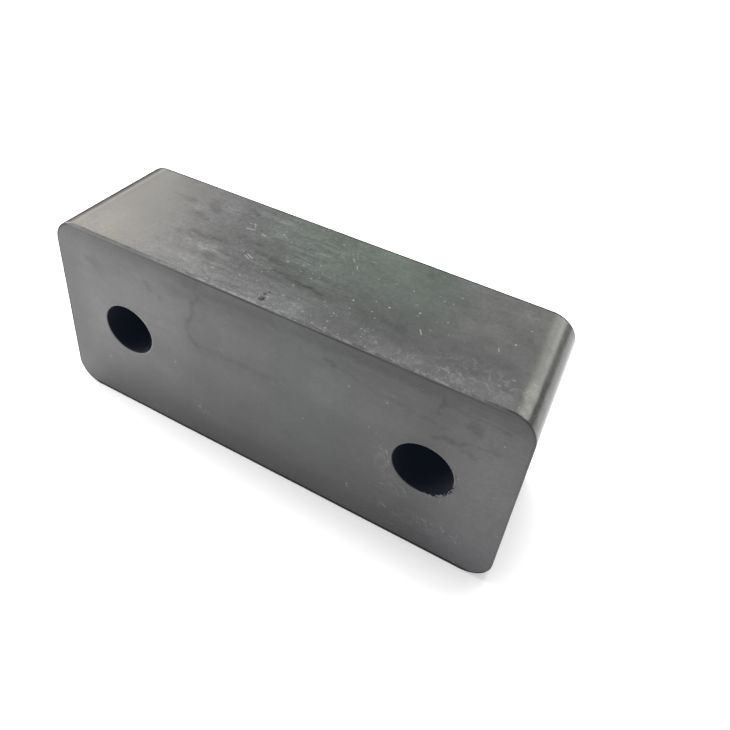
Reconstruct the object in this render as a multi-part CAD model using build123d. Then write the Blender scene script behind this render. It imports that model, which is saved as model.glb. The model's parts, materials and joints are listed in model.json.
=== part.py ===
from build123d import *
import os

# Rubber bumper block: one moulded block of solid rubber with two plain bolt holes.
# Sizes are millimetres. The block stands on one of its long sides.
# +X runs along its length, +Y from the bumping face to the mounting face, and +Z is up.
# The origin is the middle of the side that it stands on.

# Holes
bolt_diameter = 12.7
bolt_clearance = 0.8
hole_spacing = 76.2
rim_round = 0.25

# Block
end_margin = 19.05
height = 50.8
depth = 31.75
corner_radius = 6.35
edge_round = 0.5

# Worked out from the sizes above
length = hole_spacing + 2 * end_margin
hole_radius = (bolt_diameter + bolt_clearance) / 2
centre_height = height / 2


def moulded_block():
    """The rounded rectangle of the mounting face, carried straight to the bumping face."""
    mounting_plane = Plane((0, depth / 2, centre_height), x_dir=(1, 0, 0), z_dir=(0, -1, 0))
    outline = mounting_plane * RectangleRounded(length, height, corner_radius)
    return extrude(outline, depth)


def bolt_holes():
    """One plain round hole at each end, through the whole depth."""
    drill = Rot(90, 0, 0) * Cylinder(hole_radius, depth)
    return [Pos(side * hole_spacing / 2, 0, centre_height) * drill for side in (-1, 1)]


def big_faces(block):
    """The bumping face and the mounting face."""
    return block.faces().filter_by(Axis.Y)


def outline_edges(block):
    """The outer edges of both big faces."""
    return [edge for face in big_faces(block) for edge in face.outer_wire().edges()]


def rim_edges(block):
    """The round edges where the bolt holes open into both big faces."""
    return [edge for face in big_faces(block) for wire in face.inner_wires() for edge in wire.edges()]


bumper_block = moulded_block() - bolt_holes()
bumper_block = fillet(outline_edges(bumper_block), edge_round)
bumper_block = fillet(rim_edges(bumper_block), rim_round)
bumper_block.label = "bumper_block"

os.makedirs("parts", exist_ok=True)
export_step(bumper_block, "parts/bumper_block.step")
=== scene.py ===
# %% [markdown]
# # A moulded rubber bumper block
#
# The object is one block of black rubber with two plain bolt holes, made in a closed mould and
# then handled, stored and dusted. Its form is simple, so what makes it look real is small: the
# narrow rounding of its edges, the torn lip of one hole, and a skin that is greyed, streaked and
# dusty. This lesson builds the form with mesh operators and the skin with shader nodes.

import json
import math

import bmesh
import bpy
from mathutils import Matrix, Vector, noise


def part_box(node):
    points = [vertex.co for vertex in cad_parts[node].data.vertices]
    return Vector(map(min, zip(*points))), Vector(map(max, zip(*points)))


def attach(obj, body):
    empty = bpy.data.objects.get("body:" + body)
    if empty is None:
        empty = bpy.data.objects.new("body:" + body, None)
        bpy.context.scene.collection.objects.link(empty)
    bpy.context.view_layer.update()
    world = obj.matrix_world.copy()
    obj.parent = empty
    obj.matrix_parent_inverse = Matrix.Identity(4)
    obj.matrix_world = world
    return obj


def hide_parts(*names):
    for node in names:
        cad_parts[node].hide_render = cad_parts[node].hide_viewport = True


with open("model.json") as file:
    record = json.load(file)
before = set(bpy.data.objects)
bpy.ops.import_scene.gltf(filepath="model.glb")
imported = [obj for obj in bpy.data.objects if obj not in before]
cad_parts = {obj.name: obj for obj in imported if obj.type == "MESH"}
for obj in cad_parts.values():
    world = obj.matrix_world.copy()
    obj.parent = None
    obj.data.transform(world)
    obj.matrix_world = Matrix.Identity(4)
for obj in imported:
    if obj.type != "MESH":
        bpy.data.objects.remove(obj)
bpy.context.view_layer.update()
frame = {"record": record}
MM = 0.001
NODE = "bumper_block"
low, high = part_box(NODE)
centre = (low + high) / 2
length, depth, height = high - low
print("block, mm:", [round(side / MM, 2) for side in (length, depth, height)])

# %% [markdown]
# ## The two holes
#
# The holes are interfaces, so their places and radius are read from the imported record. If the
# part changes there, the mesh built below follows it.

# %% Read the holes from the record
bores = [mount for mount in frame["record"]["mounts"] if mount["kind"] == "bore"]
hole_radius = bores[0]["dims"]["r_mm"] * MM
hole_centres = [Vector((bore["pos_m"][0], low.y, bore["pos_m"][2])) for bore in bores]
print("holes at, mm:", [(round(at.x / MM, 2), round(at.z / MM, 2)) for at in hole_centres])

# %% [markdown]
# ## The camera
#
# The picture to match is a close-up taken by hand: the camera is only about one and a half block
# lengths away, above and to the right, and leans a little. It is the lower square of an upright
# 3:4 picture, so its optical axis meets it a sixth of its side above the middle. A vertical shift
# of that sixth gives the same perspective; turning the camera instead would not.

# %% Place the camera
CAMERA_AT = Vector((57.15, -104.13, 140.16)) * MM
CAMERA_AIM = Vector((13.04, 0.0, 62.09)) * MM
CAMERA_LEAN = math.radians(6.825)
CAMERA_LENS = 33.71
SENSOR_WIDTH = 36.0
PICTURE_SHIFT = -1 / 6
NEAREST_SEEN = 5 * MM


def make_camera():
    data = bpy.data.cameras.new("camera")
    data.sensor_width = SENSOR_WIDTH
    data.lens = CAMERA_LENS
    data.shift_y = PICTURE_SHIFT
    data.clip_start = NEAREST_SEEN
    camera = bpy.data.objects.new("camera", data)
    bpy.context.scene.collection.objects.link(camera)
    look = (CAMERA_AIM - CAMERA_AT).to_track_quat("-Z", "Y").to_matrix()
    camera.rotation_euler = (look @ Matrix.Rotation(CAMERA_LEAN, 3, "Z")).to_euler()
    camera.location = CAMERA_AT
    bpy.context.scene.camera = camera
    return camera


camera = make_camera()
print("camera distance, mm:", round((CAMERA_AT - centre).length / MM, 1))

# %% [markdown]
# ## The big face as a grid
#
# Every later cell moves points a little, so the block needs points close together all over. A
# flat grid standing in the front face is the plainest start. Its number of columns is a multiple
# of six, so that a column of points passes through the middle of each hole, and its cells are
# wider than the edge rounding, so that the rounding fits in the outermost row and the flat face
# stays flat in the shading.

# %% Lay out the front face
COLUMNS = 192
ROWS = 86
stand_up = Matrix.Rotation(math.radians(90), 4, "X")
face_size = Matrix.Diagonal((length, height, 1, 1))
to_front = Matrix.Translation((centre.x, low.y, centre.z)) @ stand_up

bm = bmesh.new()
bmesh.ops.create_grid(bm, x_segments=COLUMNS, y_segments=ROWS, size=0.5, matrix=to_front @ face_size)
cell = Vector((length / COLUMNS, 0, height / ROWS))
print("grid cells:", len(bm.faces), "of mm:", round(cell.x / MM, 3), round(cell.z / MM, 3))

# %% [markdown]
# ## Open the holes
#
# A square of cells is deleted round each hole, which leaves a square loop of edges. A circle with
# as many edges is put in its middle, and bridging the two loops gives a ring of quads that turns
# from square to round. The bridge pairs the loops well only when they don't lie in one plane, so
# the circle is lifted for it. The long quads are then cut across, so that the ring is as fine as
# the grid, and the points go back into the plane.

# %% Replace a square of cells by a round ring
HOLE_CELLS = 30
RING_CUTS = 4
BRIDGE_LIFT = Vector((0, -5, 0)) * MM


def around(point, at):
    """How far a point is from a hole's axis."""
    return math.hypot(point.x - at.x, point.z - at.z)


def open_hole(bm, at):
    reach = HOLE_CELLS / 2 * cell
    inside = [
        face for face in bm.faces
        if abs(face.calc_center_median().x - at.x) < reach.x
        and abs(face.calc_center_median().z - at.z) < reach.z
    ]
    bmesh.ops.delete(bm, geom=inside, context="FACES")
    square = [
        edge for edge in bm.edges
        if edge.is_boundary and all(around(v.co, at) < 1.5 * reach.x for v in edge.verts)
    ]
    circle = bmesh.ops.create_circle(
        bm, cap_ends=False, segments=4 * HOLE_CELLS, radius=hole_radius,
        matrix=Matrix.Translation(at + BRIDGE_LIFT) @ stand_up,
    )["verts"]
    rim = list(dict.fromkeys(edge for v in circle for edge in v.link_edges))
    ring = bmesh.ops.bridge_loops(bm, edges=square + rim)
    spokes = [edge for edge in ring["edges"] if edge not in square and edge not in rim]
    bmesh.ops.subdivide_edges(bm, edges=spokes, cuts=RING_CUTS, use_grid_fill=True)
    for v in bm.verts:
        v.co.y = at.y
    return len(inside), len(spokes)


for at in hole_centres:
    print("cells removed, spokes:", open_hole(bm, at))

# %% [markdown]
# ## Round the four corners
#
# A bevel would need the corners to be there before the grid is. Instead the grid's own outer
# rings are bent: a point keeps its distance from the outline, and its place along a corner of
# its ring becomes an angle on an arc.

# %% Bend the outer rings round the corners
CORNER_RADIUS = 6.35 * MM


def bend_corner(v):
    x, z = v.co.x - centre.x, v.co.z - centre.z
    inset = min(length / 2 - abs(x), height / 2 - abs(z))
    radius = CORNER_RADIUS - inset
    if radius <= 0:
        return 0
    mid_x, mid_z = length / 2 - CORNER_RADIUS, height / 2 - CORNER_RADIUS
    out_x, out_z = abs(x) - mid_x, abs(z) - mid_z
    if out_x <= 0 or out_z <= 0:
        return 0
    eighth = math.pi / 4
    on_end = out_x >= out_z
    turn = eighth * out_z / out_x if on_end else 2 * eighth - eighth * out_x / out_z
    v.co.x = centre.x + math.copysign(mid_x + radius * math.cos(turn), x)
    v.co.z = centre.z + math.copysign(mid_z + radius * math.sin(turn), z)
    return 1


print("points bent:", sum(bend_corner(v) for v in bm.verts))

# %% [markdown]
# ## Give the face its depth
#
# Extruding the whole sheet makes the back face, the four sides and the walls of the holes in one
# step. Then the sharp edges are beveled. The real ones look crisp, with a rounding of only a
# quarter of a millimetre. Those of the outline get one segment more than the hole rims, because
# they are long and catch the light.

# %% Extrude and bevel
EDGE_ROUND, EDGE_SEGMENTS = 0.25 * MM, 4
RIM_ROUND, RIM_SEGMENTS = 0.25 * MM, 3
RIM_ZONE = 1.0 * MM
SHARP = math.radians(60)


def near_hole(point):
    return min(around(point, at) for at in hole_centres) < hole_radius + RIM_ZONE


grown = bmesh.ops.extrude_face_region(bm, geom=bm.faces[:])["geom"]
back_points = [v for v in grown if isinstance(v, bmesh.types.BMVert)]
bmesh.ops.translate(bm, verts=back_points, vec=(0, depth, 0))
bmesh.ops.recalc_face_normals(bm, faces=bm.faces)


def sharp_edges(bm, at_holes):
    """The square edges of the block: those at the holes, or those of the outline."""
    return [
        edge for edge in bm.edges
        if edge.calc_face_angle(0) > SHARP and near_hole(edge.verts[0].co) == at_holes
    ]


def round_edges(bm, at_holes, offset, segments):
    edges = sharp_edges(bm, at_holes)
    bmesh.ops.bevel(
        bm, geom=edges, offset=offset, offset_type="OFFSET", segments=segments,
        profile=0.5, affect="EDGES", material=-1, clamp_overlap=True,
    )
    return len(edges)


print("outline edges beveled:", round_edges(bm, False, EDGE_ROUND, EDGE_SEGMENTS))
print("rim edges beveled:", round_edges(bm, True, RIM_ROUND, RIM_SEGMENTS))

# %% [markdown]
# ## Cut the sides into rows
#
# The sides are still one long quad from front to back. Two cuts just inside each rounding keep the
# shading of the flat side apart from the edge: the first takes up the turn of the surface, and the
# second is flat already. The long stretch between is cut into rows.

# %% Add rows along the depth
ROW_CUTS = 35
HOLDING_ROW = 0.12 * MM

for rows in (1, 2):
    inset = EDGE_ROUND + rows * HOLDING_ROW
    for y in (low.y + inset, high.y - inset):
        everything = bm.verts[:] + bm.edges[:] + bm.faces[:]
        bmesh.ops.bisect_plane(bm, geom=everything, plane_co=(0, y, 0), plane_no=(0, 1, 0))
long_edges = [edge for edge in bm.edges if edge.calc_length() > depth / 2]
bmesh.ops.subdivide_edges(bm, edges=long_edges, cuts=ROW_CUTS, use_grid_fill=True)
bmesh.ops.recalc_face_normals(bm, faces=bm.faces)
print("faces:", len(bm.faces), "open edges:", sum(not edge.is_manifold for edge in bm.edges))

# %% [markdown]
# ## How far from the edges
#
# Wear and dirt gather at edges and rims, so the next cells ask again and again how far a point is
# from them. Three small functions answer that from the sizes of the block.

# %% Measure from the edges and rims
def outline_gap(point):
    """How far a point lies inside the rounded outline of the big faces."""
    out_x = abs(point.x - centre.x) - (length / 2 - CORNER_RADIUS)
    out_z = abs(point.z - centre.z) - (height / 2 - CORNER_RADIUS)
    outside = math.hypot(max(out_x, 0), max(out_z, 0))
    return CORNER_RADIUS - outside - min(max(out_x, out_z), 0)


def face_gap(point):
    """How far a point lies inside the nearer big face."""
    return depth / 2 - abs(point.y - centre.y)


def edge_gap(point):
    """How far a point lies from the nearest outer edge."""
    return math.hypot(outline_gap(point), face_gap(point))


def rim_gap(point):
    """How far a point lies outside the nearer hole's wall."""
    return min(around(point, at) for at in hole_centres) - hole_radius


def smooth(value, start, end):
    """Nought at the start, one at the end, and a smooth way between them."""
    share = min(max((value - start) / (end - start), 0), 1)
    return share * share * (3 - 2 * share)


print("face middle to outline, mm:", round(outline_gap(Vector((0, 0, centre.z))) / MM, 2))

# %% [markdown]
# ## A nick in the top
#
# One small pit near the front of the top is deep enough to hold shade of its own. A pit needs more
# points than a plain side, so the faces round it are divided first, and then the points sink by a
# smooth amount that fades to nothing at the pit's border. The shader darkens it as well.

# %% Press the nick in
NICK_AT = Vector((-2.0 * MM, -13.8 * MM, high.z))
NICK_HALF = 1.15 * MM
NICK_DEPTH = 0.3 * MM
NICK_GRAIN = 0.55 * MM
NICK_FILL = 0.15
NICK_CUTS = 4


def nick_share(point):
    """One at the deepest places of the nick and nought outside it."""
    away = (point - NICK_AT).length / NICK_HALF
    torn = noise.noise(point / NICK_GRAIN) + NICK_FILL
    return smooth(away, 1.0, 0.5) * smooth(torn, 0.0, 0.45)


def near_nick(edge):
    middle = (edge.verts[0].co + edge.verts[1].co) / 2
    return (middle - NICK_AT).length < 1.5 * NICK_HALF and middle.z > high.z - EDGE_ROUND / 8


patch = [edge for edge in bm.edges if near_nick(edge)]
bmesh.ops.subdivide_edges(bm, edges=patch, cuts=NICK_CUTS, use_grid_fill=True)
pressed = [v for v in bm.verts if v.co.z > high.z - EDGE_ROUND and nick_share(v.co) > 0]
for v in pressed:
    v.co.z -= NICK_DEPTH * nick_share(v.co)
print("points in the nick:", len(pressed))

# %% [markdown]
# ## A torn lip
#
# The hole on the right was punched a little roughly: along its lower right, small teeth of rubber
# stand into the mouth. The rim's points move towards the axis by a noise that depends on the angle
# only, so that each tooth is a ridge, and the move fades out within the first half millimetre of
# depth. The shader colours still finer teeth outside the rim.

# %% Tear the lip of the right hole
TEETH_FROM, TEETH_TO = math.radians(-95), math.radians(-5)
TEETH_HEIGHT = 0.75 * MM
TEETH_DEPTH = EDGE_ROUND + HOLDING_ROW
WIDE_TEETH, NARROW_TEETH = 6.5, 17
torn_hole = max(hole_centres, key=lambda at: at.x)


def tooth(turn):
    """How far the lip stands in at an angle round the hole, from two rows of noise."""
    part = smooth(turn, TEETH_FROM, TEETH_FROM + 0.4) * smooth(turn, TEETH_TO, TEETH_TO - 0.3)
    wide = noise.noise(Vector((turn * WIDE_TEETH, 3.7, 0)))
    narrow = noise.noise(Vector((turn * NARROW_TEETH, 9.1, 0)))
    return TEETH_HEIGHT * part * min(max(0.12 + 0.9 * wide + 1.2 * narrow, 0), 0.7)


def tear(v):
    spoke = Vector((v.co.x - torn_hole.x, 0, v.co.z - torn_hole.z))
    near = smooth(abs(spoke.length - hole_radius), 2.2 * RIM_ROUND, RIM_ROUND / 2)
    share = near * smooth(v.co.y - low.y, TEETH_DEPTH, RIM_ROUND)
    move = share * tooth(math.atan2(spoke.z, spoke.x))
    if move > 0:
        v.co -= spoke.normalized() * move
    return move


moves = [tear(v) for v in bm.verts if around(v.co, torn_hole) < hole_radius + RIM_ZONE]
print("points in the torn lip:", sum(move > 0 for move in moves))
print("longest tooth, mm:", round(max(moves) / MM, 2))

# %% [markdown]
# ## Worn edges and a skin that isn't flat
#
# Nothing moulded in rubber is quite flat, and its edges are rubbed unevenly. Points move inward
# along their normals by a soft noise, never outward, so the block stays inside its real size. The
# long waves are a few hundredths of a millimetre, just enough to bend the reflections. The outer
# edges get short waves as well, of up to a tenth of a millimetre along the front top edge, which
# is handled most, and of a fifth of that along the others.

# %% Wear the skin
WAVE_SIZE, WAVE_DEPTH = 11 * MM, 0.045 * MM
EDGE_WAVE_SIZE, EDGE_WEAR = 2.2 * MM, 0.07 * MM
EDGE_REACH = EDGE_ROUND + HOLDING_ROW
OTHER_EDGES = 0.2


def wear(v):
    """How far a point moves inward."""
    wave = 0.5 + 0.5 * noise.noise(v.co / WAVE_SIZE)
    short_rub = noise.noise(v.co / EDGE_WAVE_SIZE)
    long_rub = noise.noise(v.co / (3 * EDGE_WAVE_SIZE))
    rub = max(0.15 + short_rub + 0.6 * long_rub, 0)
    most_worn = smooth(v.co.z, high.z - EDGE_REACH, high.z) * smooth(v.co.y, centre.y, low.y)
    share = OTHER_EDGES + (1 - OTHER_EDGES) * most_worn
    at_edge = smooth(edge_gap(v.co), EDGE_REACH, EDGE_ROUND / 2) * share
    away_from_holes = smooth(rim_gap(v.co), RIM_ROUND, 2 * RIM_ZONE)
    return away_from_holes * (WAVE_DEPTH * wave + EDGE_WEAR * rub * at_edge)


bm.normal_update()
moves = [(v, v.normal.copy(), wear(v)) for v in bm.verts]
for v, normal, inward in moves:
    v.co -= normal * inward
print("deepest wear, mm:", round(max(inward for v, normal, inward in moves) / MM, 3))

# %% [markdown]
# ## From mesh to piece
#
# So far the block was a bmesh, which is only a workspace. Now it becomes an object. Smooth shading
# blends the surface's direction across neighbouring faces, and the narrow rows beside each rounding
# keep that blend out of the flat faces.

# %% Turn the mesh into the piece
mesh = bpy.data.meshes.new("bumper_skin")
bm.to_mesh(mesh)
bm.free()
for polygon in mesh.polygons:
    polygon.use_smooth = True
block = bpy.data.objects.new("bumper_skin", mesh)
bpy.context.scene.collection.objects.link(block)
print("faces:", len(mesh.polygons))

# %% [markdown]
# ## Soft marks, painted on the points
#
# Stains, smears and pale cloudy patches have places of their own, and so do the wide patches of
# painted light and shade on the front and on the rounded ends. They are soft, so they can be painted
# on the mesh's points, as with a vertex paint brush: each mark is a line on one face with a reach and
# a change of tone. Noise pushes the line about, because a real stain has no straight border. The
# renderer then only looks the value up, which is much quicker than nodes for each mark.

# %% The front's marks
# Each mark: its reach in mm, its change of tone, and its line as places in mm.
FRONT_MARKS = (
    # The wide marks, with a reach of four or more, are painted light and shade: the lighter ones are
    # painted light, the darker ones painted shade, deepest towards the bottom and along the top edge.
    (13, 0.35, [(-43, 31), (-38, 34), (-26, 34)]),
    (9, 0.15, [(-14, 38), (4, 36)]),
    (14, 0.7, [(50, 40), (50, 9)]),
    (9, 0.35, [(16, 36), (32, 38)]),
    (9, 0.15, [(-40, 15), (-26, 16)]),
    (4.5, -0.55, [(-56, 50), (-20, 50)]),
    (4.0, -0.3, [(-20, 49.5), (56, 49.5)]),
    (24, -0.6, [(-40, -3), (36, -3)]),
    (8, -0.15, [(-16, 32), (2, 32)]),
    (6, -0.15, [(-18, 4), (12, 4)]),
    (4.0, -0.2, [(10, 50), (54, 50)]),
    (10, -0.15, [(-16, 18), (24, 18)]),
    (8, -0.45, [(-56, 49), (-56, 14)]),
    (5, -0.25, [(-20, 46), (-2, 46)]),
    (4.5, -0.16, [(-54, 47.4), (-34, 47.4)]),
    (5, -0.12, [(-16, 1), (10, 1)]),
    (1.1, -0.4, [(-17.1, 49), (-17.4, 43.3), (-18.2, 41.2), (-20.1, 36.6), (-20.5, 33.3), (-18.6, 31)]),
    (3.2, -0.15, [(-16.0, 48), (-16.2, 43), (-19, 37), (-19.3, 33)]),
    (1.2, -0.27, [(-19, 31), (-12.6, 31.2), (-3.8, 31.2), (3, 30.9)]),
    (2.8, -0.15, [(-19, 30), (-6, 30)]),
    (2.2, -0.35, [(-48, 42.4), (-46.2, 42.6), (-45.3, 40.9)]),
    (1.2, -0.5, [(-31.1, 42.4), (-30.5, 41.2)]),
    (1.0, -0.35, [(-28.1, 40.6), (-27.8, 40)]),
    (2.4, -0.3, [(-25.6, 44.8), (-23.2, 44.2)]),
    (1.0, -0.45, [(14, 43.4), (16.4, 43.2)]),
    (0.8, -0.25, [(16.4, 43.2), (26.4, 40.8), (41, 39.6)]),
    (0.8, -0.5, [(38.9, 36), (40.6, 36.9), (43.9, 37.3)]),
    (0.8, -0.28, [(44.4, 37.5), (46, 38.1), (51.8, 39)]),
    (0.8, -0.3, [(42, 36), (48, 35.4)]),
    (0.9, -0.45, [(39, 47), (39.1, 42.9)]),
    (0.8, -0.35, [(39.7, 45.6), (46, 45.5), (52.6, 45.2)]),
    (0.8, -0.25, [(40.5, 46.6), (47, 46.8), (55, 46.2)]),
    (2.0, -0.4, [(45.5, 43.2), (46.6, 42.6)]),
    (1.5, -0.3, [(-20, 47.2), (8, 46.8), (24, 47.3), (36, 46.6)]),
    (1.2, 0.25, [(-24.9, 22.2), (-24.5, 21.8)]),
)
print("marks on the front:", len(FRONT_MARKS))

# %% The top's marks
TOP_MARKS = (
    (8, 0.2, [(-54, -13), (-38, -12)]),
    (8, 0.25, [(-38, 12), (-27, 8)]),
    (7, -0.25, [(-52, 8), (-46, 1)]),
    (5, -0.15, [(-22, -1), (-10, 2), (0, -4)]),
    (0.9, -0.4, [(-33, 3.4), (-27.6, 3)]),
    (0.9, -0.4, [(-28.4, -2.9), (-22.4, -3)]),
    (0.9, -0.4, [(-31, -4.3), (-26.8, -4.6)]),
    (0.9, -0.4, [(-21.6, -2.7), (-19.6, -3.2)]),
    (0.9, -0.35, [(-18, 1.2), (-12, 0.8)]),
    (0.9, -0.35, [(-12, -1.8), (-6, -2.2)]),
    (0.9, -0.4, [(-5, -5.0), (4, -6.2)]),
    (1.0, -0.4, [(2.2, -6.4), (7.4, -6.7)]),
    (1.0, -0.35, [(21.4, -6.4), (26.6, -7.2)]),
    (1.0, -0.35, [(-41, 7.6), (-36, 7.2)]),
    (2.4, -0.3, [(-31, 9), (-29, 6.4)]),
    (1.3, -0.35, [(-21.6, 11.4), (-20.2, 10.8)]),
    (1.0, -0.35, [(24, 12.3), (24.8, 12.2)]),
    (0.9, -0.35, [(49.2, 4), (49.4, 3.5)]),
    (1.2, 0.6, [(-28, -6.2), (-19.6, -6.3)]),
    (1.2, 0.45, [(-23.4, -6.8), (-22, -6.9)]),
    (5.5, 0.4, [(-30, -13.8), (4, -13.8)]),
    (4.5, 0.2, [(22, -13.8), (31, -13.8)]),
    (5, -0.2, [(-20, 9), (-16, 8)]),
    (5, -0.15, [(-12, -4), (-6, -4)]),
    (7, -0.2, [(8, -4), (28, -4)]),
    (7, -0.2, [(18, -11), (46, -7)]),
    # Painted shade on the rounding at the left end.
    (6.5, -0.97, [(-56, 15), (-56, -15)]),
    # The last five lie on the rounded right end and are painted reflection, its light and dark bands, the
    # first partly a pale dusty patch.
    (1.8, 1.1, [(53.3, -15), (53.3, -7)]),
    (1.7, -0.3, [(53.2, 14), (53.2, 4)]),
    (1.2, -0.4, [(55.1, -15), (55.1, -4)]),
    (1.0, -0.4, [(55.8, -4), (55.8, 15)]),
    (2.0, 0.6, [(57, -15), (57, 0)]),
)
print("marks on the top:", len(TOP_MARKS))

# %% [markdown]
# ## Scuffs and dust, by place
#
# Scuffs and dusty patches are listed in the same way, but here the second number is their strength.
# Where two of them meet, the stronger one counts, while two stains on one place add up.

# %% The scuffs and the dust
SCUFFS = (
    (5.5, 1.0, [(38, -12.5), (48.5, -11.5)]),
    (3.0, 0.7, [(38.5, -9.5), (42, -9)]),
    (3.2, 0.9, [(20.8, -13), (23.4, -13)]),
    (3.0, 0.9, [(28.8, -13.4), (31.6, -13.2)]),
    (2.6, 0.8, [(46.2, 11.6), (47.8, 12.2)]),
    (2.2, 0.6, [(-51, -12), (-42, -13.5)]),
    (1.2, 0.8, [(-11.6, 6.6), (-7.6, 6.9)]),
)
FRONT_SCUFFS = (
    (2.0, 1.0, [(-18.6, 11.2), (-17.6, 10.4)]),
    (1.2, 0.7, [(-16, 9.9), (-15.7, 9.7)]),
    (1.8, 0.9, [(-28, 32.7), (-24.7, 32.5)]),
    (1.6, 0.5, [(1.6, 30.6), (5.4, 30.3)]),
    (3.5, 1.0, [(30, 8.8), (48, 8.8)]),
    (3.0, 0.9, [(28, 26), (30, 20), (35, 15)]),
)
# Along the front top edge: places in mm, with how thick the dust and painted highlight are on the
# crest, and how dark the painted shade line is under it.
CREST_DUST_AND_HIGHLIGHT = (
    (-56, 0.1), (-50, 0.22), (-32, 0.2), (-24, 0.7), (-14, 1.0), (-4, 0.9), (8, 0.9), (16, 0.8),
    (24, 0.8), (30, 1.0), (40, 1.0), (46, 0.8), (51, 0.1),
)
CREST_SHADE = (
    (-56, 0.1), (-48, 0.35), (-38, 0.35), (-26, 0.4), (-14, 0.6), (-2, 0.65), (4, 0.5),
    (16, 0.6), (24, 0.55), (30, 0.35), (38, 0.45), (44, 0.3), (56, 0.2),
)
DUSTY = (
    (2.4, 1.0, [(-12, 7.6), (-7, 6.8)]),
    (1.8, 1.0, [(0.5, 12.2), (3, 12)]),
    (2.2, 0.8, [(-1.5, 2.3), (0.5, 2.2)]),
    (3.0, 0.9, [(7, 9.5), (10, 5)]),
    (3.0, 0.7, [(-7.6, -6.6), (-6, -7.5)]),
    (3.0, 0.8, [(10, -9), (18, -8)]),
    (3.4, 0.8, [(29, -8), (36, -4.5)]),
    (2.4, 0.6, [(22, -1), (27, -0.6)]),
)
FRONT_DUSTY = (
    (3.0, 1.0, [(28, 28), (30, 22), (34, 16)]),
    (2.4, 1.0, [(31, 8.6), (41, 10), (49, 8.2)]),
    (2.0, 0.9, [(-28, 32.6), (-24.7, 32.6)]),
    (2.2, 0.9, [(1.6, 30.6), (5.4, 30.3)]),
    (2.0, 0.6, [(-18, 10.8), (-15.6, 9.6)]),
    (5.0, 0.5, [(44, 12), (50, 20)]),
)
print("scuffs:", len(SCUFFS + FRONT_SCUFFS), "dusty patches:", len(DUSTY + FRONT_DUSTY))

# %% [markdown]
# ## Paint the marks
#
# A point takes a mark fully near its line, and less towards the end of its reach. Thin and wide
# marks go on two layers, because the shader breaks up the borders of the thin ones only. The other
# layers hold the distances to the edges and rims, the scuffs, and the dust.

# %% A brush that follows a line
SHAKE_SIZE, SHAKE_REACH = 2.6, 0.9
FULL_SHARE = 0.15


def line_gap(place, line):
    """How far a place is from a line through two or more places."""
    gaps = []
    for start, end in zip(line, line[1:]):
        run = end - start
        share = min(max((place - start).dot(run) / run.dot(run), 0), 1)
        gaps.append((place - start - share * run).length)
    return min(gaps)


def paint(marks, axes, face_share, start, combine):
    """One value for each point, from the marks on one face; the axes pick its two coordinates."""
    lines = [(reach, change, [Vector(place) for place in line]) for reach, change, line in marks]
    values = [start] * len(mesh.vertices)
    for v in mesh.vertices:
        here = v.co / MM
        share = face_share(here)
        if share == 0:
            continue
        shaken = here + SHAKE_REACH * noise.noise_vector(here / SHAKE_SIZE)
        place = Vector((shaken[axes[0]], shaken[axes[1]]))
        for reach, change, line in lines:
            gap = line_gap(place, line)
            if gap < reach:
                strength = share * smooth(gap, reach, FULL_SHARE * reach)
                values[v.index] = combine(values[v.index], change * strength)
    return values


print("a line is pushed about by up to, mm:", SHAKE_REACH)

# %% Where the brush paints
FACE_SKIN = 0.15
# How far down the rounded corners the top's marks go, and over what height they fade out.
LEFT_REACH, LEFT_FADE = 2.5, 1.1
RIGHT_REACH, RIGHT_FADE = 4.4, 0.9


def front_share(here):
    """One on the front face and nought elsewhere."""
    return float(here.y < low.y / MM + FACE_SKIN)


def top_share(here):
    """One on the top, fading out down its two rounded corners, and nought on the big faces."""
    if abs(here.y - centre.y / MM) > depth / MM / 2 - FACE_SKIN:
        return 0.0
    reach, fade = (LEFT_REACH, LEFT_FADE) if here.x < 0 else (RIGHT_REACH, RIGHT_FADE)
    foot = high.z / MM - reach
    return smooth(here.z, foot, foot + fade)


def along(places, x):
    """The value at x of a list of places and values, with straight runs between them."""
    for (start, first), (end, second) in zip(places, places[1:]):
        if start <= x <= end:
            return first + (second - first) * (x - start) / (end - start)
    return 0.0


print("points on the front:", sum(front_share(v.co / MM) > 0 for v in mesh.vertices))
print("points on the top:", sum(top_share(v.co / MM) > 0 for v in mesh.vertices))

# %% Paint the layers
THIN_REACH = 4.0


def tint_by(value, change):
    return value * (1 + change)


def thin(marks):
    return [mark for mark in marks if mark[0] < THIN_REACH]


def wide(marks):
    return [mark for mark in marks if mark[0] >= THIN_REACH]


def tone_of(pick):
    """The marks of both faces on one list of points; a point is on one face at most."""
    front_tone = paint(pick(FRONT_MARKS), (0, 2), front_share, 1.0, tint_by)
    top_tone = paint(pick(TOP_MARKS), (0, 1), top_share, 1.0, tint_by)
    return [one * two for one, two in zip(front_tone, top_tone)]


scuffs = paint(SCUFFS, (0, 1), top_share, 0.0, max)
front_scuffs = paint(FRONT_SCUFFS, (0, 2), front_share, 0.0, max)
dusty = paint(DUSTY, (0, 1), top_share, 0.0, max)
front_dusty = paint(FRONT_DUSTY, (0, 2), front_share, 0.0, max)
layers = {
    "edge_gap": [edge_gap(v.co) / MM for v in mesh.vertices],
    "rim_gap": [rim_gap(v.co) / MM for v in mesh.vertices],
    "wide_marks": tone_of(wide),
    "thin_marks": tone_of(thin),
    "scuffed": [max(pair) for pair in zip(scuffs, front_scuffs)],
    "dusty": [max(pair) for pair in zip(dusty, front_dusty)],
    "crest_dust_and_highlight": [along(CREST_DUST_AND_HIGHLIGHT, v.co.x / MM) for v in mesh.vertices],
    "crest_shade": [along(CREST_SHADE, v.co.x / MM) for v in mesh.vertices],
}
for name, values in layers.items():
    mesh.attributes.new(name, "FLOAT", "POINT").data.foreach_set("value", values)
    print(name, round(min(values), 2), "to", round(max(values), 2))

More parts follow.
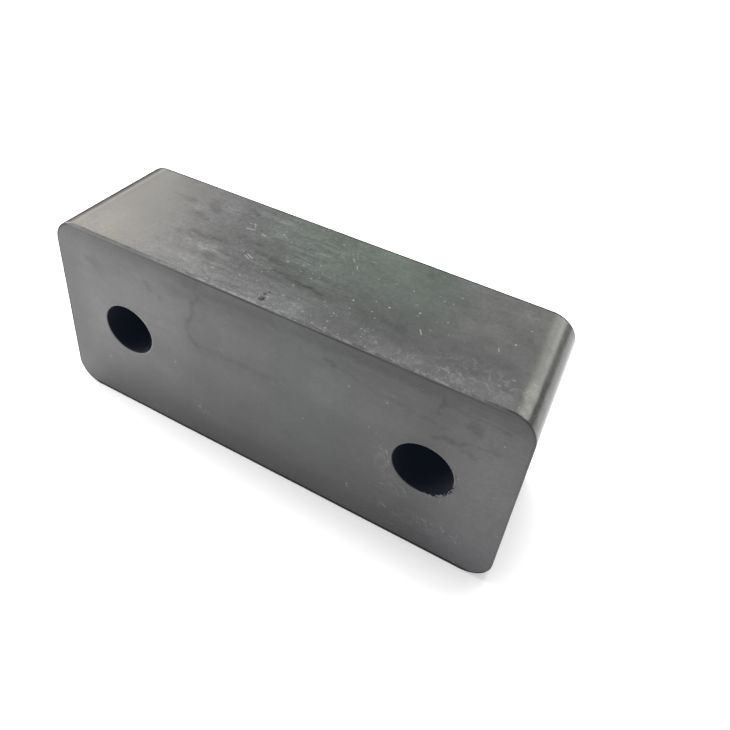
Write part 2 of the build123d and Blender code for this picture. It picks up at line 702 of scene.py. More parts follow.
# %% [markdown]
# ## Writing patterns as formulas
#
# A procedural material is a long formula, and drawing it node by node in code is hard to read. This
# small class adds nodes to a tree and returns their outputs, so a pattern is written like a sum.
# Lengths are in millimetres: the coordinates are scaled once, where they enter.

# %% A helper for shader formulas
class Pattern:
    def __init__(self, tree):
        self.nodes = tree.nodes
        self.links = tree.links

    def feed(self, value, socket):
        """Links an output to a socket, or sets the socket to a plain value."""
        if isinstance(value, bpy.types.NodeSocket):
            self.links.new(value, socket)
        else:
            socket.default_value = value

    def node(self, kind, settings=None, **inputs):
        node = self.nodes.new("ShaderNode" + kind)
        for name, value in (settings or {}).items():
            setattr(node, name, value)
        for name, value in inputs.items():
            self.feed(value, node.inputs[name])
        return node

    def calc(self, operation, *values):
        node = self.node("Math", {"operation": operation})
        for value, socket in zip(values, node.inputs):
            self.feed(value, socket)
        return node.outputs[0]

    def vector(self, operation, *values):
        node = self.node("VectorMath", {"operation": operation})
        for value, socket in zip(values, node.inputs):
            self.feed(value, socket)
        return node.outputs["Value" if operation in ("DISTANCE", "DOT_PRODUCT") else "Vector"]

    def scale(self, point, factor):
        return self.node("VectorMath", {"operation": "SCALE"}, Vector=point, Scale=factor).outputs[0]

    def ramp(self, value, start, end, low=0.0, high=1.0):
        """Goes smoothly from low to high as the value goes from start to end."""
        node = self.node("MapRange", {"interpolation_type": "SMOOTHSTEP"}, Value=value)
        for name, number in (("From Min", start), ("From Max", end), ("To Min", low), ("To Max", high)):
            self.feed(number, node.inputs[name])
        return node.outputs["Result"]

    def cloud(self, point, size, detail=2.0, roughness=0.5):
        """Soft noise around a half, with blotches of about that size."""
        node = self.node("TexNoise", Vector=point, Scale=1 / size, Detail=detail, Roughness=roughness)
        return node.outputs["Fac"]

    def stretch(self, point, along, across, up):
        """The same point in a space that is drawn out, so that a pattern there becomes streaks."""
        return self.vector("DIVIDE", point, (along, across, up))

    def linear(self, value, gain, start):
        """The start plus the value times the gain."""
        return self.calc("MULTIPLY_ADD", value, gain, start)

    def inverse(self, mask):
        """One where the mask is nought, and nought where it is one."""
        return self.calc("SUBTRACT", 1.0, mask)

    def vary(self, cloud, amount):
        """Turns noise around a half into a factor around one; the amount may be a pattern."""
        swing = self.calc("MULTIPLY", self.calc("SUBTRACT", cloud, 0.5), 2.0)
        return self.linear(swing, amount, 1.0)

    def product(self, *factors):
        total = factors[0]
        for factor in factors[1:]:
            total = self.calc("MULTIPLY", total, factor)
        return total

    def strongest(self, *marks):
        total = marks[0]
        for mark in marks[1:]:
            total = self.calc("MAXIMUM", total, mark)
        return total

    def attribute(self, name):
        return self.node("Attribute", {"attribute_name": name}).outputs["Fac"]


print("helper for node trees:", Pattern.__name__)

# %% Start the rubber
material = bpy.data.materials.new("greyed_black_rubber")
material.use_nodes = True
mesh.materials.append(material)
rubber = Pattern(material.node_tree)
point = rubber.scale(rubber.node("TexCoord").outputs["Object"], 1 / MM)
split = rubber.node("SeparateXYZ", Vector=point)
at_x, at_y, at_z = split.outputs
edge_mm = rubber.attribute("edge_gap")
rim_mm = rubber.attribute("rim_gap")


def print_nodes(step):
    print("nodes with", step + ":", len(rubber.nodes))


print_nodes("the coordinates")

# %% [markdown]
# ## Which side is which
#
# The big faces were cleaned and handled, while the sides kept their streaks and dust, so the shader
# needs to tell them apart. The block is straight and its faces lie at known places, so plain
# comparisons of the coordinates are enough, and each mask fades over a fraction of a millimetre.
# The fine teeth at the torn lip are a noise too, unrolled along the rim by the angle round the
# hole, so that they point at its middle.

# %% Masks for the faces
FACE_FADE = 0.35
front_y, back_y = low.y / MM, high.y / MM
top_z, right_x = high.z / MM, high.x / MM
on_front = rubber.ramp(at_y, front_y + FACE_FADE, front_y + FACE_FADE / 4)
on_back = rubber.ramp(at_y, back_y - FACE_FADE, back_y - FACE_FADE / 4)
on_side = rubber.inverse(rubber.calc("ADD", on_front, on_back))
on_top = rubber.product(on_side, rubber.ramp(at_z, top_z - 4.5, top_z - 0.4))
on_right = rubber.product(on_side, rubber.ramp(at_x, right_x - 6.5, right_x - 4.5))


def front(x, z):
    """A place on the front face, in mm."""
    return (x, front_y, z)


def top(x, y):
    """A place on the top, in mm."""
    return (x, y, top_z)


print_nodes("the faces")

# %% Masks for the holes
from_torn = rubber.vector("DISTANCE", point, front(43.6, 21.4))
torn_side = rubber.product(rubber.ramp(from_torn, 4.6, 2.2), on_front)
torn_x, torn_z = torn_hole.x / MM, torn_hole.z / MM
aside, upward = rubber.calc("SUBTRACT", at_x, torn_x), rubber.calc("SUBTRACT", at_z, torn_z)
round_lip = rubber.calc("MULTIPLY", rubber.calc("ARCTAN2", upward, aside), hole_radius / MM)
fringe = rubber.node("CombineXYZ", X=round_lip, Y=rubber.calc("MULTIPLY", rim_mm, 0.5)).outputs[0]
teeth = rubber.ramp(rubber.cloud(fringe, 0.5, detail=2.0), 0.42, 0.64, high=0.8)
in_bore = rubber.ramp(rubber.calc("SUBTRACT", rim_mm, rubber.product(torn_side, teeth)), 0.15, -0.05)
print_nodes("the holes")

# %% [markdown]
# ## The skin
#
# Black rubber greys as wax and fillers come to its surface, and the grey is never even. Soft noise
# in four sizes gives that mottling, down to a grain of a third of a millimetre. The sides carry
# streaks along the length as well, from being drawn out of the mould and wiped. They are strongest
# left of the middle of the top, and a second noise breaks them into patches.

# %% Mottling and streaks
BROAD_SIZE, BLOTCH_SIZE, FINE_SIZE, GRAIN_SIZE = 16, 4.5, 1.0, 0.3

broad = rubber.cloud(point, BROAD_SIZE, detail=2.0)
blotch = rubber.cloud(point, BLOTCH_SIZE, detail=3.0, roughness=0.6)
fine = rubber.cloud(point, FINE_SIZE, detail=3.0, roughness=0.65)
grain = rubber.cloud(point, GRAIN_SIZE, detail=1.0)
long_streak = rubber.cloud(rubber.stretch(point, 11, 1.4, 1.4), 1, detail=3.0, roughness=0.65)
thin_streak = rubber.cloud(rubber.stretch(point, 3.5, 0.33, 0.33), 1, detail=2.0, roughness=0.7)

streak_place = rubber.product(rubber.ramp(at_x, -46, -26), rubber.ramp(at_x, 24, -2, low=0.22))
streak_patches = rubber.ramp(rubber.cloud(point, 9, detail=2.0), 0.4, 0.62, low=0.25)
streaked = rubber.product(on_side, streak_place, streak_patches)
brushed_top = rubber.product(on_top, streak_place)
brushed = rubber.product(on_front, rubber.ramp(at_z, top_z - 14, top_z - 4, low=0.25))
print("noise sizes, mm:", (BROAD_SIZE, BLOTCH_SIZE, FINE_SIZE, GRAIN_SIZE))

# %% [markdown]
# ## Dust
#
# Rubber holds dust. Tiny specks lie all over, thick along the front top edge and round the right
# hole, thin at the back of the right half, and nearly absent at the left end. A Voronoi pattern has
# one centre in every cell, and three random numbers. The first decides whether a speck is there,
# and a mask of where dust gathers sets the odds. The others make some specks larger or brighter.

# %% Scatter the specks
SMALLEST = 0.3


def specks(where, cell_size, radius, share):
    """Specks in a share of the cells, a share that may itself be a pattern."""
    node = rubber.node("TexVoronoi", Vector=where, Scale=1 / cell_size)
    draw = rubber.node("SeparateXYZ", Vector=node.outputs["Color"])
    chosen = rubber.calc("LESS_THAN", draw.outputs["X"], share)
    most = radius / cell_size
    reach = rubber.linear(draw.outputs["Y"], (1 - SMALLEST) * most, SMALLEST * most)
    dot = rubber.ramp(node.outputs["Distance"], reach, rubber.calc("MULTIPLY", reach, 0.3))
    return rubber.product(chosen, dot, rubber.linear(draw.outputs["Z"], 1 - SMALLEST, SMALLEST))


def turned(where, degrees, squeeze):
    """Turns and squeezes space, so that round specks become short slanting fibres."""
    node = rubber.node("Mapping", Vector=where)
    node.inputs["Rotation"].default_value = [math.radians(angle) for angle in degrees]
    node.inputs["Scale"].default_value = squeeze
    return node.outputs[0]


print("smallest speck, of the largest:", SMALLEST)

# %% Say where the dust lies
drift = rubber.ramp(rubber.cloud(point, 6, detail=2.0), 0.42, 0.66, low=0.2)
clean_right = rubber.ramp(at_x, 2, 16, low=1.0, high=0.4)
side_dust = rubber.product(
    on_top, rubber.ramp(at_x, -38, 12, low=0.1), rubber.ramp(at_x, 54, 40, low=0.25),
    rubber.ramp(at_y, -12, -5, low=1.0, high=clean_right),
)
front_lip = rubber.product(on_top, rubber.ramp(at_y, front_y + 5, front_y + 0.4))
from_hole = rubber.vector("DISTANCE", point, front(34, 14))
hole_dust = rubber.product(on_front, rubber.ramp(from_hole, 26, 8), 1.3)
face_dust = rubber.product(on_front, rubber.ramp(at_x, -20, 40, low=0.12, high=0.45))
dustiness = rubber.product(rubber.strongest(side_dust, front_lip, hole_dust, face_dust, 0.12), drift)
dustiness = rubber.strongest(dustiness, rubber.product(rubber.attribute("dusty"), 1.3))
small_share = rubber.calc("MULTIPLY", rubber.calc("POWER", dustiness, 1.5), 0.7)
small_specks = specks(point, cell_size=1.0, radius=0.3, share=small_share)
large_specks = specks(point, cell_size=2.6, radius=0.34, share=rubber.linear(dustiness, 0.09, 0.008))
lint_place = turned(point, degrees=(35, 50, 20), squeeze=(0.25, 1.0, 1.0))
lint = specks(lint_place, cell_size=1.1, radius=0.26, share=rubber.linear(dustiness, 0.3, 0.005))
lip_specks = specks(point, cell_size=0.5, radius=0.26, share=0.8)
print_nodes("the dust")

# %% [markdown]
# ## Specks with a place of their own
#
# The largest grains of dust and bits of lint are seen at once, so these few are put where they lie
# on the block. A grain is a distance to one place. A bit of lint is a short line, and the distance
# to it is what the painted marks use too, written in nodes this time because it is so thin.

# %% Shapes for a grain and a hair
SOLID_SHARE = 0.3


def grains(radius, *places):
    """Round grains of one radius, solid in the middle and soft at the border."""
    gaps = [rubber.vector("DISTANCE", point, place) for place in places]
    return rubber.strongest(*[rubber.ramp(gap, radius, SOLID_SHARE * radius) for gap in gaps])


def hair(width, start, end):
    """A short straight fibre between two places."""
    run = Vector(end) - Vector(start)
    reach = rubber.vector("SUBTRACT", point, start)
    share = rubber.node("Clamp", Value=rubber.vector("DOT_PRODUCT", reach, run / run.dot(run))).outputs[0]
    gap = rubber.vector("DISTANCE", reach, rubber.scale(run, share))
    return rubber.ramp(gap, width, SOLID_SHARE * width)


print("solid share of a grain:", SOLID_SHARE)

# %% Place the largest specks and the lint
pits = rubber.strongest(
    grains(1.05, top(-1.9, -14.3)), grains(0.8, top(-2.2, -12.9)), grains(0.5, top(-1.7, -11.9)),
)
pits = rubber.product(pits, rubber.ramp(fine, 0.36, 0.56, low=0.35))
bright_grains = grains(
    0.3, top(-10.3, 7.4), top(27.2, -0.6), top(47.0, 1.1), top(-4.2, -0.8), top(21.2, -2.5),
    top(13.9, -4.5), front(28.5, 39.4), front(20.0, 39.2), front(52.0, 41.6),
)
dull_grains = grains(
    0.26, top(-14.2, -3.1), top(-9.9, -10.5), top(-16.1, -11.6), top(18.7, -5.6), top(48.7, 6.9),
    top(23.3, 5.3), top(2.9, 11.8), front(25.4, 30.4), front(30.1, 25.8), front(29.9, 23.6),
    front(10.1, 23.7), front(22.2, 9.6), front(42.6, 10.0), front(-24.7, 22.0),
)
hairs = rubber.strongest(
    hair(0.2, top(-12.9, -3.4), top(-11.2, -4.2)), hair(0.18, top(-13.1, -4.1), top(-11.7, -4.7)),
    hair(0.2, top(-18.8, 4.7), top(-16.9, 5.2)), hair(0.14, top(-19.4, 6.9), top(-17.6, 7.2)),
    hair(0.12, top(-18.3, 7.5), top(-17.2, 6.0)), hair(0.15, top(7.2, 8.4), top(7.9, 7.4)),
    hair(0.15, top(9.2, 6.2), top(9.8, 5.2)), hair(0.14, top(44.3, -1.6), top(44.7, -2.6)),
    hair(0.2, top(-14.6, 4.7), top(-13.5, 4.5)), hair(0.2, top(29.2, -5.2), top(29.9, -6.4)),
)
front_hairs = rubber.strongest(
    hair(0.24, front(29.8, 26.0), front(30.3, 25.0)), hair(0.22, front(30.7, 23.2), front(31.2, 22.2)),
    hair(0.2, front(34.9, 17.0), front(35.8, 15.9)), hair(0.18, front(31.2, 8.7), front(31.9, 8.2)),
    hair(0.2, front(40.3, 10.3), front(41.5, 9.8)), hair(0.16, front(44.6, 10.4), front(45.6, 9.7)),
    hair(0.18, front(48.3, 8.3), front(48.8, 7.7)), hair(0.2, front(22.0, 9.4), front(22.5, 8.6)),
)
dust = rubber.strongest(
    rubber.product(small_specks, rubber.ramp(on_front, 0.0, 1.0, low=0.65, high=0.95)),
    rubber.product(large_specks, 0.75), rubber.product(lint, 0.6),
    rubber.product(bright_grains, 0.9), rubber.product(dull_grains, 0.6), rubber.product(hairs, 0.6),
    rubber.product(front_hairs, 0.42),
)
print_nodes("the grains and hairs")

# %% [markdown]
# ## Scuffs, edges and holes
#
# Where the block was rubbed, the skin is paler and duller. The painted mask says where, and a
# contrasty noise breaks it up, curled by its own distortion. Dust and a painted highlight lie along
# the crest of the front top edge, with a thin line of painted shade just under it, and the other
# edges are darker and duller. Each rim has a thin pale ring, and the right hole a dark line beside
# it, painted shade for a shallow groove. Inside the holes the colour is nearly black, painted shade
# for the bores. A camera never sees such a hole quite black, because haze in the lens lifts it to a
# deep navy, so the bores get that trace as emission, a painted glow.

# %% Scuffs and the front top edge
scratchy = rubber.cloud(point, 2.0, detail=4.0, roughness=0.7)
scratchy.node.inputs["Distortion"].default_value = 1.5
ragged = rubber.ramp(scratchy, 0.47, 0.66)
scuffed = rubber.product(rubber.attribute("scuffed"), ragged)
clumpy = rubber.cloud(rubber.stretch(point, 2.2, 1, 1), 0.9, detail=3.0, roughness=0.7)
clumps = rubber.ramp(clumpy, 0.4, 0.62, low=0.15)
near_crest = rubber.product(
    rubber.ramp(at_z, top_z - 0.9, top_z - 0.5), rubber.ramp(at_y, front_y + 1.3, front_y + 0.5),
)
crest_line = rubber.node("CombineXYZ", X=at_x, Y=front_y, Z=top_z - 0.32).outputs[0]
on_crest = rubber.ramp(rubber.vector("DISTANCE", point, crest_line), 0.4, 0.2)
on_arc = rubber.product(rubber.ramp(edge_mm, 0.36, 0.24), near_crest)
crest_dust_and_highlight = rubber.attribute("crest_dust_and_highlight")
# The pale crest is dust and a painted highlight along the rounded edge.
crest = rubber.product(crest_dust_and_highlight, rubber.strongest(
    rubber.product(on_crest, rubber.linear(clumps, 0.55, 0.2)),
    rubber.product(near_crest, lip_specks, 0.6),
))
# The line under the crest is painted shade, for the shadow under the edge.
shade_line = rubber.product(
    rubber.ramp(at_z, top_z - 1.4, top_z - 1.05), rubber.ramp(at_z, top_z - 0.68, top_z - 0.88),
    rubber.ramp(at_y, front_y + 0.3, front_y + 0.1), rubber.attribute("crest_shade"),
)
print_nodes("the front top edge")

# %% Rubbed edges and the hole rims
# Darker and duller along the outer edges, most at the bottom, the left end and the back half.
darker_edge_place = rubber.strongest(
    rubber.ramp(at_z, 5, 2), rubber.ramp(at_x, -50, -54, high=0.6), rubber.ramp(at_y, 0, 5), 0.15,
)
darker_edges = rubber.product(
    darker_edge_place, rubber.ramp(edge_mm, 0.75, 0.3), rubber.ramp(rim_mm, 0.5, 2.0),
    rubber.inverse(near_crest), rubber.ramp(on_back, 0.0, 1.0, low=1.0, high=0.35),
)
foot = rubber.product(on_front, rubber.ramp(at_z, 1.3, 0.7), 0.9)
pale_rim = rubber.product(rubber.ramp(rim_mm, 0.8, 0.1), rubber.inverse(in_bore))
# The dark line outside the right rim is painted shade, for a shallow groove.
rim_line = rubber.product(
    on_front, rubber.ramp(at_x, 40, 43),
    rubber.ramp(rim_mm, 0.3, 0.5), rubber.ramp(rim_mm, 0.8, 0.6), clumps,
)
print_nodes("the edges and rims")

# %% [markdown]
# ## Putting the colour together
#
# The tone starts from the painted marks and every pattern multiplies it. It says how light or dark
# the rubber is at a place, painted light and shade included, and has no colour yet.

# %% The tone
mark_noise = rubber.cloud(point, 1.2, detail=3.0, roughness=0.65)
mark_edges = rubber.ramp(mark_noise, 0.35, 0.65, low=0.6, high=1.35)
thin_change = rubber.calc("SUBTRACT", rubber.attribute("thin_marks"), 1.0)
back_of_top = rubber.product(on_top, rubber.ramp(at_y, -8, 6, low=0.3), rubber.ramp(at_x, -44, -32))
long_amount = rubber.linear(streaked, 0.7, rubber.calc("MULTIPLY", brushed, 0.25))
thin_amount = rubber.linear(streaked, 0.7, rubber.calc("MULTIPLY", brushed, 0.1))
tone = rubber.product(
    rubber.attribute("wide_marks"),
    rubber.linear(thin_change, mark_edges, 1.0),
    rubber.vary(broad, 0.35),
    rubber.vary(blotch, 0.30),
    rubber.vary(fine, rubber.linear(brushed_top, 0.25, 0.2)),
    rubber.vary(grain, rubber.linear(brushed_top, 0.38, 0.16)),
    rubber.vary(long_streak, long_amount),
    rubber.vary(thin_streak, thin_amount),
    rubber.linear(back_of_top, 0.25, 1.0),
    rubber.linear(shade_line, -1.0, 1.0),
    rubber.linear(rim_line, -0.6, 1.0),
    rubber.linear(pits, -0.75, 1.0),
    rubber.linear(rubber.strongest(darker_edges, foot), -0.95, 1.0),
)
shade = rubber.node("CombineXYZ", X=tone, Y=tone, Z=tone).outputs[0]
print_nodes("the tone")

# %% [markdown]
# ## Faint tints
#
# The tone scales the rubber's colour, which is nearly neutral, but not quite: a little greener
# towards the middle of the top, a painted reflection, warmer at its left end, a painted reflection of
# the warm lamp, with straw and rosy patches, yellower on the rounded end and bluer low on the front.
# Each tint is a faint colour with a mask. Dust, scuffs and the crest's dust and painted highlight lie
# on top, so they are mixed in last, and the painted shade of the bores replaces all of it.

# %% Colours, and a node that mixes them
RUBBER_COLOUR = (0.069, 0.069, 0.070, 1)
NO_TINT = (1, 1, 1, 1)
# The green and the warm tints are painted reflection.
GREEN_REFLECTION_TINT = (0.85, 1.05, 0.87, 1)
WARM_REFLECTION_TINT = (1.0, 1.0, 0.905, 1)
ROSY_TINT = (1.14, 1.0, 0.88, 1)
STRAW_TINT = (1.06, 1.03, 0.76, 1)
YELLOW_TINT = (0.98, 1.0, 0.92, 1)
BLUE_TINT = (1.0, 1.0, 1.1, 1)
PALE_GREEN_TINT = (0.95, 1.0, 0.98, 1)
END_TINT = (1.0, 1.0, 0.84, 1)
# The bores are painted shade, nearly black, and their navy haze is a painted glow.
BORE_SHADE_COLOUR = (0.006, 0.007, 0.011, 1)
BORE_HAZE = (0.0032, 0.0045, 0.0085, 1)
# The colour of dust, and of the painted highlight on the crest.
DUST_AND_HIGHLIGHT_COLOUR = (0.5, 0.5, 0.48, 1)


def mix(factor, first, second, how="MIX"):
    node = rubber.node("Mix", {"data_type": "RGBA", "blend_type": how})
    for name, value in (("Factor", factor), ("A", first), ("B", second)):
        socket = next(s for s in node.inputs if s.name == name and s.enabled)
        rubber.feed(value, socket)
    return next(s for s in node.outputs if s.enabled)


print("rubber:", RUBBER_COLOUR[:3], "dust:", DUST_AND_HIGHLIGHT_COLOUR[:3])

# %% Tint the rubber
# Where the top takes the green of a painted reflection.
green_reflection_place = rubber.product(
    rubber.ramp(at_x, -30, 8), rubber.ramp(at_x, 48, 22), rubber.ramp(at_y, -14, 14, low=0.2, high=1.1),
)
# Where the top takes the warm tint, a painted reflection of the warm lamp.
left_end = rubber.product(on_top, rubber.ramp(at_x, -28, -44))
back_right = rubber.product(on_top, rubber.ramp(at_x, 28, 42), rubber.ramp(at_y, -8, 6))
from_patch = rubber.vector("DISTANCE", point, top(-46, -14))
warm_patch = rubber.product(on_top, rubber.ramp(from_patch, 13, 3), rubber.ramp(blotch, 0.35, 0.6))
end_place = rubber.product(on_right, rubber.ramp(at_x, 55.2, 54.2, low=0.55))
low_front = rubber.product(on_front, rubber.ramp(at_z, 14, 6), rubber.ramp(at_x, -20, -4))
green_strip = rubber.product(
    on_front, rubber.ramp(at_x, -4, 4), rubber.ramp(at_x, 26, 16), rubber.ramp(at_z, 10, 16),
)
patch_noise = rubber.cloud(point, 3.6, detail=1.0)
patch_tint = mix(rubber.ramp(patch_noise, 0.46, 0.56), STRAW_TINT, ROSY_TINT)
tint = NO_TINT
for place, colour in (
    (rubber.product(on_top, green_reflection_place), GREEN_REFLECTION_TINT), (left_end, WARM_REFLECTION_TINT), (back_right, YELLOW_TINT),
    (warm_patch, patch_tint), (low_front, BLUE_TINT), (green_strip, PALE_GREEN_TINT), (end_place, END_TINT),
):
    tint = mix(place, tint, colour)
skin = mix(1.0, mix(1.0, RUBBER_COLOUR, shade, "MULTIPLY"), tint, "MULTIPLY")
# The crest's share here is dust and painted highlight; the others are dust, scuffs and the pale rims.
for cover, share in ((scuffed, 0.12), (crest, 0.8), (pale_rim, 0.04), (dust, 0.6)):
    skin = mix(rubber.product(cover, share), skin, DUST_AND_HIGHLIGHT_COLOUR)
# The painted shade of the bores replaces the rest.
skin = mix(in_bore, skin, BORE_SHADE_COLOUR)
print_nodes("the colour")

# %% [markdown]
# ## Gloss and relief
#
# The gloss is dull but broad, and it is what draws the light bands on the rounded end, which is
# smoother than the rest. Dust, scuffs and the far left end are matt. In the bores, under the crest
# and along the darker edges, grime and painted shade hardly reflect at all, so they lower the
# reflection itself, as handling does at the left end. The relief is a fine orange-peel grain with
# the streaks in it, and the bump node is only asked for what is too small to be worth points.

# %% Roughness and sheen
END_ROUGHNESS, SKIN_ROUGHNESS, DUSTY_ROUGHNESS, BORE_ROUGHNESS = 0.18, 0.33, 0.75, 0.8
SKIN_SHEEN, GRIME_AND_SHADE_SHEEN = 0.5, 0.08

rough = rubber.ramp(on_right, 0.0, 1.0, low=SKIN_ROUGHNESS, high=END_ROUGHNESS)
rough = rubber.product(rough, rubber.vary(blotch, 0.12), rubber.vary(fine, 0.12))
far_left = rubber.product(on_side, rubber.ramp(at_x, -51, -54))
dull_crest = rubber.ramp(at_x, -8, 10, high=0.7)
off_floor = rubber.ramp(at_z, 3, 6)
matt = rubber.strongest(
    dust, rubber.product(scuffed, 0.4), rubber.product(darker_edges, off_floor),
    rubber.product(rubber.strongest(on_crest, on_arc), dull_crest),
)
rough = rubber.ramp(matt, 0.0, 1.0, low=rough, high=DUSTY_ROUGHNESS)
rough = rubber.ramp(in_bore, 0.0, 1.0, low=rough, high=BORE_ROUGHNESS)
rough = rubber.ramp(far_left, 0.0, 1.0, low=rough, high=1.0)

leftmost = rubber.product(on_side, rubber.ramp(at_x, -45, -53))
# Grime, and the painted shade in the bores and under the crest, reflect less.
grime_and_shade = rubber.strongest(
    in_bore, darker_edges, foot, rubber.product(pits, 0.7), rubber.product(shade_line, 0.8),
    rubber.product(leftmost, 0.45), rubber.product(on_arc, dull_crest, 0.8),
)
sheen = rubber.ramp(grime_and_shade, 0.0, 1.0, low=SKIN_SHEEN, high=GRIME_AND_SHADE_SHEEN)
print("roughness:", END_ROUGHNESS, "to", BORE_ROUGHNESS, "sheen:", GRIME_AND_SHADE_SHEEN, "to", SKIN_SHEEN)

# %% Relief, and the shader's sockets
BUMP_HEIGHT = 0.03 * MM

relief = rubber.linear(fine, 0.6, rubber.calc("MULTIPLY", grain, 0.4))
relief = rubber.linear(rubber.product(thin_streak, streaked), 0.5, relief)
relief = rubber.linear(shade_line, -3.0, relief)
bump = rubber.node("Bump", Height=relief, Strength=1.0, Distance=BUMP_HEIGHT)

shader = material.node_tree.nodes["Principled BSDF"]
rubber.feed(skin, shader.inputs["Base Color"])
rubber.feed(rough, shader.inputs["Roughness"])
# An exported model can't keep a linked sheen, and takes this plain value in its place.
shader.inputs["Specular IOR Level"].default_value = SKIN_SHEEN
rubber.feed(sheen, shader.inputs["Specular IOR Level"])
rubber.feed(bump.outputs[0], shader.inputs["Normal"])
# A painted glow: faint navy emission in the bores.
rubber.feed(in_bore, shader.inputs["Emission Strength"])
rubber.feed(BORE_HAZE, shader.inputs["Emission Color"])
print_nodes("the shader")

# %% [markdown]
# ## The floor
#
# The block stands on a pale floor, like a sheet of paper swept up a wall. It is a plain shader, and
# Light Path makes it white where it is seen, straight or in a reflection, and leaves what it sends
# on to the block at a lower, natural level. Close to the block the added white is weaker, which
# paints a soft shadow round the block, and the floor's true shading and real shadow show there too.

# %% Lay the floor
FLOOR_REACH = 3.0
FLOOR_COLOUR = (0.8, 0.8, 0.8, 1)
SEEN_COLOUR = (1, 1, 1, 1)
SEEN_WORLD_LEVEL = 0.6
# Less white is added near the block, which paints a soft shadow round it.
SEEN_AT_BLOCK, SEEN_NEAR = 0.4, 0.65
NEAR_TO, FAR_FROM, FAR_TO, FADE_TO = 0.036, 0.08, 0.3, 1.4


def seen(pattern):
    """One for a ray from the camera, a reflection or a clear surface, and nought for the rest."""
    rays = pattern.node("LightPath").outputs
    return pattern.strongest(*[rays[f"Is {kind} Ray"] for kind in ("Camera", "Glossy", "Transmission")])


def added_white(paper):
    """How much white the floor adds to its own shading, by the distance from the block's middle line."""
    split = paper.node("SeparateXYZ", Vector=paper.node("TexCoord").outputs["Object"])
    past_ends = paper.calc("SUBTRACT", paper.calc("ABSOLUTE", split.outputs["X"]), (length - depth) / 2)
    sideways = paper.calc("MAXIMUM", past_ends, 0.0)
    aside = paper.node("CombineXYZ", X=sideways, Y=split.outputs["Y"]).outputs[0]
    away = paper.vector("DISTANCE", aside, (0, 0, 0))
    # Less white near the block: painted shadow, seen straight and in the block's reflections.
    near = paper.ramp(away, depth / 2, NEAR_TO, low=SEEN_AT_BLOCK, high=SEEN_NEAR)
    far = paper.ramp(away, FAR_FROM, FAR_TO, high=1 - SEEN_NEAR)
    fade = paper.ramp(away, FADE_TO / 2, FADE_TO, high=1 - SEEN_WORLD_LEVEL)
    return paper.calc("SUBTRACT", paper.calc("ADD", near, far), fade)


def paper_material():
    material = bpy.data.materials.new("white_paper")
    material.use_nodes = True
    paper = Pattern(material.node_tree)
    sockets = paper.nodes["Principled BSDF"].inputs
    sockets["Base Color"].default_value = FLOOR_COLOUR
    sockets["Roughness"].default_value = 1.0
    sockets["Specular IOR Level"].default_value = 0.0
    sockets["Emission Color"].default_value = SEEN_COLOUR
    paper.feed(paper.product(added_white(paper), seen(paper)), sockets["Emission Strength"])
    return material


def make_floor():
    bm = bmesh.new()
    bmesh.ops.create_grid(bm, x_segments=1, y_segments=1, size=FLOOR_REACH)
    mesh = bpy.data.meshes.new("floor")
    bm.to_mesh(mesh)
    bm.free()
    mesh.materials.append(paper_material())
    floor = bpy.data.objects.new("floor", mesh)
    bpy.context.scene.collection.objects.link(floor)
    return floor


floor = make_floor()
print("floor, m:", 2 * FLOOR_REACH)

# %% [markdown]
# ## The world
#
# The world does the same: it is light where it is seen, and gives the block only a little light
# from all sides. The lamps do the rest, so that the shading keeps its direction. The Standard view
# shows the colours as they are worked out, with no film curve over them.

# %% Hang the world
WORLD_LEVEL = 0.12


def make_world():
    world = bpy.data.worlds.new("white_world")
    world.use_nodes = True
    sky = Pattern(world.node_tree)
    sockets = sky.nodes["Background"].inputs
    sockets["Color"].default_value = SEEN_COLOUR
    level = sky.ramp(seen(sky), 0.0, 1.0, low=WORLD_LEVEL, high=SEEN_WORLD_LEVEL)
    sky.feed(level, sockets["Strength"])
    bpy.context.scene.world = world


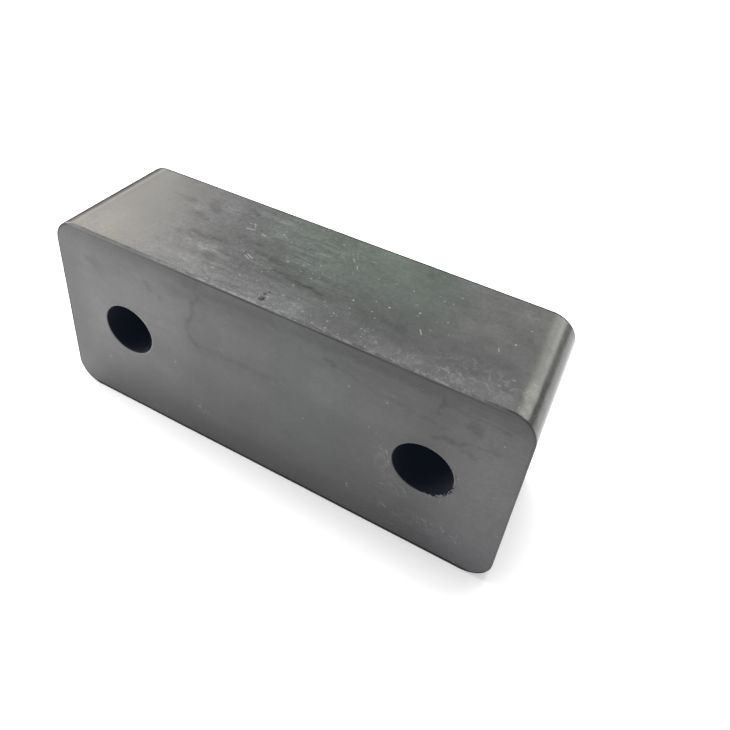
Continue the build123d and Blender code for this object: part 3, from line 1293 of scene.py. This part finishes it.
make_world()
bpy.context.scene.view_settings.view_transform = "Standard"
print("world level:", WORLD_LEVEL, "where seen:", SEEN_WORLD_LEVEL)

# %% [markdown]
# ## Soft lamps
#
# The picture was lit by a few broad, soft sources, which show in the rubber's dull gloss. A warm
# one behind on the left brightens the left end of the top. Three behind on the right, one above
# the other, draw the light band along the rounded end, and two small ones close to the left end
# make the big face fall off to the right. A large one overhead fills the floor, which lights the
# block from below. Area lamps do all of this. Each is placed by its compass direction, height and
# distance round the block.

# %% Hang the lamps
WARM = (1.0, 0.95, 0.9)
PLAIN = (1.0, 1.0, 1.0)


def hang_lamp(name, azimuth, elevation, away, wide, high, watts, colour=PLAIN):
    """A rectangular lamp that faces the block. Azimuth 0 is behind the block and 90 at its right."""
    data = bpy.data.lights.new(name, "AREA")
    data.shape = "RECTANGLE"
    data.size = wide
    data.size_y = high
    data.energy = watts
    data.color = colour
    lamp = bpy.data.objects.new(name, data)
    bpy.context.scene.collection.objects.link(lamp)
    turn, rise = math.radians(azimuth), math.radians(elevation)
    out = Vector((math.sin(turn) * math.cos(rise), math.cos(turn) * math.cos(rise), math.sin(rise)))
    lamp.location = centre + away * out
    lamp.rotation_euler = out.to_track_quat("Z", "Y").to_euler()
    return lamp


lamps = [
    hang_lamp("overhead", 0, 80, 0.5, 0.30, 0.30, 2.68),
    hang_lamp("back_left", 298, 26, 0.35, 0.18, 0.14, 0.386, WARM),
    hang_lamp("window_top", 26, 38, 0.5, 0.22, 0.10, 0.09),
    hang_lamp("window_middle", 32, 30, 0.5, 0.22, 0.10, 0.16),
    hang_lamp("window_foot", 38, 21, 0.5, 0.22, 0.08, 0.18),
    hang_lamp("left_end", 265, 20, 0.22, 0.12, 0.12, 0.31),
    hang_lamp("front_left", 235, 8, 0.3, 0.20, 0.10, 0.427),
]
for lamp in lamps:
    print(lamp.name, "watts:", lamp.data.energy)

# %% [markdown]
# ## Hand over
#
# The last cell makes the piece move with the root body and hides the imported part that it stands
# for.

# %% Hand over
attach(block, "root")
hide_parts(NODE)
